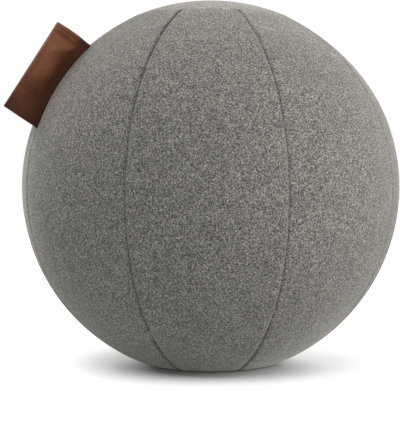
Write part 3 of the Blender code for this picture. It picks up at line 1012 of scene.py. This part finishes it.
grain = add_node(
    tree, "ShaderNodeMapRange", {"Value": pebbles.outputs["Distance"], "From Max": 0.12}
)
# Painted shade: the leather's colour goes dark next to the ball, where the ball shades it; the dark
# pebble grain is mixed in with it
from_ball = add_node(
    tree, "ShaderNodeVectorMath", {0: place, 1: ball_centre}, operation="DISTANCE"
)
painted_root_shade = add_node(
    tree,
    "ShaderNodeMapRange",
    {
        "Value": from_ball.outputs["Value"],
        "From Min": loop_radius,
        "From Max": loop_radius + 0.016,
        "To Min": 0.2,
        "To Max": 1,
    },
)
grain_and_root_shade = add_node(
    tree,
    "ShaderNodeMath",
    {0: grain.outputs["Result"], 1: painted_root_shade.outputs["Result"]},
    operation="MULTIPLY",
)
dark_grain_and_root_shade = add_node(
    tree,
    "ShaderNodeMix",
    {0: grain_and_root_shade.outputs["Value"], 6: linear("#341a0f"), 7: shade.outputs[2]},
    data_type="RGBA",
)
wax = add_node(
    tree, "ShaderNodeMapRange", {"Value": creases.outputs["Fac"], "To Min": 0.36, "To Max": 0.56}
)
fine = add_node(
    tree,
    "ShaderNodeBump",
    {"Strength": 0.35, "Distance": 0.0002, "Height": grain.outputs["Result"]},
)
soft = add_node(
    tree,
    "ShaderNodeBump",
    {
        "Strength": 0.5,
        "Distance": 0.0015,
        "Height": creases.outputs["Fac"],
        "Normal": fine.outputs["Normal"],
    },
)
tree.links.new(dark_grain_and_root_shade.outputs[2], shader.inputs["Base Color"])
tree.links.new(wax.outputs["Result"], shader.inputs["Roughness"])
tree.links.new(soft.outputs["Normal"], shader.inputs["Normal"])
shader.inputs["IOR"].default_value = 1.45
shader.inputs["Specular IOR Level"].default_value = 0.2

hand_loop = add_sheet("leather_hand_loop", loop_columns, len(along_steps) - 1, on_loop)
face_away(hand_loop, bend_line + loop_out * fold_out / 2)
thicken(hand_loop, leather_wall)
hand_loop.data.materials.append(leather)
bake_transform(hand_loop)
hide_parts("hand_loop", "hand_loop_root")

# Hand loop's stitching. A row of waxed brown thread near each open side holds the turned leather.
# It runs round the fold in single stitches, which dip into the leather at both their ends.
hem_stitch = 0.0032
hem_gap = 0.0011
hem_thread = 0.0003
hem_line = 0.0056
hem_first = 8
# How deep a stitch lies below the leather's outside, at shares of its length
hem_dips = ((0, 0.0005), (0.2, -0.0001), (0.5, -0.0002), (0.8, -0.0001), (1, 0.0005))


def hem_points(end_sign):
    """Points along the outside of the leather, on the stitched line near one of its ends."""
    along = end_sign * (loop_length / 2 - hem_line)
    half = loop_side(root_out(along))[hem_first:]
    ring = [(out, aside, 1) for out, aside in half]
    ring += [(out, aside, -1) for out, aside in reversed(half[:-1])]
    points = []
    for out, aside, sign in ring:
        aside += swell(out, aside, along, sign) + slack(aside) * hem_rise
        points.append(off_bend(out, sign * aside, along))
    return points


stitches = []
for end_sign in (-1, 1):
    line = hem_points(end_sign)
    lengths = [0.0]
    for near, far in zip(line, line[1:]):
        lengths.append(lengths[-1] + (far - near).length)

    def at(distance, line=line, lengths=lengths):
        """The point at a distance along a line of points."""
        for i in range(1, len(lengths)):
            if distance <= lengths[i]:
                share = (distance - lengths[i - 1]) / (lengths[i] - lengths[i - 1])
                return line[i - 1].lerp(line[i], share)
        return line[-1]

    for count in range(int(lengths[-1] / hem_stitch)):
        start = count * hem_stitch
        long = hem_stitch - hem_gap
        stitch = []
        for share, below in hem_dips:
            point = at(start + long * share)
            inside = Vector((0, -1 if point.y > 0 else 1, 0))
            stitch.append(point + inside * below)
        stitches.append(stitch)
hem_row = add_thread("hand_loop_thread", stitches, hem_thread)

# Waxed linen thread, a shade darker than the leather
linen = dyed(sewing, "waxed linen thread", "#38211a", "#5e3d2f")
hem_row.data.materials.append(linen)
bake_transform(hem_row)

# Floor. A plain white studio floor, on which the ball casts its soft shadow. To the camera and in
# reflections it glows white, more and more away from the middle of an oval round the ball, which
# paints the shadow's shape: a flat oval that lies a little to the front, with a dark core and a
# long faint edge. Near the ball it glows faintly for other rays too, a painted bounce light on the
# ball's underside.
view_azimuth = math.radians(-21.5)
view_elevation = math.radians(3.4)
to_camera = Vector(
    (
        math.sin(view_azimuth) * math.cos(view_elevation),
        -math.cos(view_azimuth) * math.cos(view_elevation),
        math.sin(view_elevation),
    )
)
view_right = Vector((math.cos(view_azimuth), math.sin(view_azimuth), 0))
view_up = to_camera.cross(view_right)
shadow_front = 0.09
shadow_right = 0.012
shadow_depth = 0.67
view_front = Vector((math.sin(view_azimuth), -math.cos(view_azimuth), 0))
shadow_middle = view_front * shadow_front + view_right * shadow_right

bpy.ops.object.select_all(action="DESELECT")
bpy.ops.mesh.primitive_plane_add(size=40)
floor = bpy.context.object
floor.name = "studio_floor"
paper = bpy.data.materials.new("white studio floor")
paper.use_nodes = True
tree = paper.node_tree
tree.nodes.remove(tree.nodes["Principled BSDF"])
output = tree.nodes["Material Output"]
place = add_node(
    tree,
    "ShaderNodeMapping",
    {
        "Vector": add_node(tree, "ShaderNodeTexCoord", {}).outputs["Object"],
        "Location": shadow_middle,
        "Rotation": (0, 0, view_azimuth),
        "Scale": (1, shadow_depth, 1),
    },
    vector_type="TEXTURE",
)
away = add_node(tree, "ShaderNodeVectorMath", {0: place.outputs["Vector"]}, operation="LENGTH")
core = add_node(
    tree,
    "ShaderNodeMapRange",
    {
        "Value": away.outputs["Value"],
        "From Min": 0.105,
        "From Max": 0.19,
        "To Min": 0,
        "To Max": 0.43,
    },
)
edge = add_node(
    tree,
    "ShaderNodeMapRange",
    {
        "Value": away.outputs["Value"],
        "From Min": 0.19,
        "From Max": 0.4,
        "To Min": 0,
        "To Max": 0.4,
    },
)
white = add_node(
    tree, "ShaderNodeMath", {0: core.outputs["Result"], 1: edge.outputs["Result"]}, operation="ADD"
)
rays = add_node(tree, "ShaderNodeLightPath", {})
seen = add_node(
    tree,
    "ShaderNodeMath",
    {0: rays.outputs["Is Camera Ray"], 1: rays.outputs["Is Glossy Ray"]},
    operation="MAXIMUM",
)
# Painted light: near the ball the floor glows for rays other than the camera's, which lights the
# ball's underside
bounce = add_node(
    tree,
    "ShaderNodeMapRange",
    {
        "Value": away.outputs["Value"],
        "From Min": 0.1,
        "From Max": 0.32,
        "To Min": 0.22,
        "To Max": 0,
    },
)
lift = add_node(
    tree,
    "ShaderNodeMapRange",
    {
        "Value": seen.outputs["Value"],
        "To Min": bounce.outputs["Result"],
        "To Max": white.outputs["Value"],
    },
)
matt = add_node(tree, "ShaderNodeBsdfDiffuse", {"Color": (0.75, 0.75, 0.75, 1)})
glow = add_node(
    tree, "ShaderNodeEmission", {"Color": (1, 1, 1, 1), "Strength": lift.outputs["Result"]}
)
both = add_node(
    tree, "ShaderNodeAddShader", {0: matt.outputs["BSDF"], 1: glow.outputs["Emission"]}
)
tree.links.new(both.outputs["Shader"], output.inputs["Surface"])
floor.data.materials.append(paper)

# Light. A soft white studio: an even surround and three large square lamps, one on the right, one
# over the front, and one above and a little behind at the left.
lamp_size = 1.8
scene = bpy.context.scene
scene.view_settings.view_transform = "Standard"
world = bpy.data.worlds.new("white studio")
scene.world = world
world.use_nodes = True
tree = world.node_tree
rays = add_node(tree, "ShaderNodeLightPath", {})
seen = add_node(
    tree,
    "ShaderNodeMath",
    {0: rays.outputs["Is Camera Ray"], 1: rays.outputs["Is Glossy Ray"]},
    operation="MAXIMUM",
)
seen = add_node(
    tree,
    "ShaderNodeMath",
    {0: seen.outputs["Value"], 1: rays.outputs["Is Transmission Ray"]},
    operation="MAXIMUM",
)
level = add_node(
    tree, "ShaderNodeMapRange", {"Value": seen.outputs["Value"], "To Min": 0.22, "To Max": 1.0}
)
sky = tree.nodes["Background"]
sky.inputs["Color"].default_value = (1, 1, 1, 1)
tree.links.new(level.outputs["Result"], sky.inputs["Strength"])

for name, place, power in (
    ("key_lamp", view_right * 2.45 + view_up * 0.65 + to_camera * 0.65, 58),
    ("top_lamp", view_up * 1.95 - view_right * 0.3 + to_camera * 1.55, 30),
    ("rim_lamp", view_up * 2.05 - view_right * 1.3 - to_camera * 0.5, 41),
):
    lamp = bpy.data.lights.new(name, "AREA")
    lamp.energy = power
    lamp.size = lamp_size
    holder = bpy.data.objects.new(name, lamp)
    holder.location = ball_centre + place
    holder.rotation_mode = "QUATERNION"
    holder.rotation_quaternion = (-place).to_track_quat("-Z", "Y")
    scene.collection.objects.link(holder)

# Camera. It stands 2.18 m from the ball's centre, a little above it, and is aimed so that the ball
# lies in the 400 by 432 frame as in the picture: its centre is 10 px right of the middle of the
# frame and 29 px above it.
camera_distance = 2.1775
focal_pixels = 1250
sensor_size = 36
frame_height = 432
ball_right = 10.4
ball_up = 28.6
lens = bpy.data.cameras.new("camera")
lens.sensor_width = sensor_size
lens.lens = focal_pixels * sensor_size / frame_height
camera = bpy.data.objects.new("camera", lens)
camera.location = ball_centre + to_camera * camera_distance
ball_offset = view_right * ball_right + view_up * ball_up
aim = ball_centre - ball_offset * camera_distance / focal_pixels
camera.rotation_mode = "QUATERNION"
camera.rotation_quaternion = (aim - camera.location).to_track_quat("-Z", "Y")
scene.collection.objects.link(camera)
scene.camera = camera
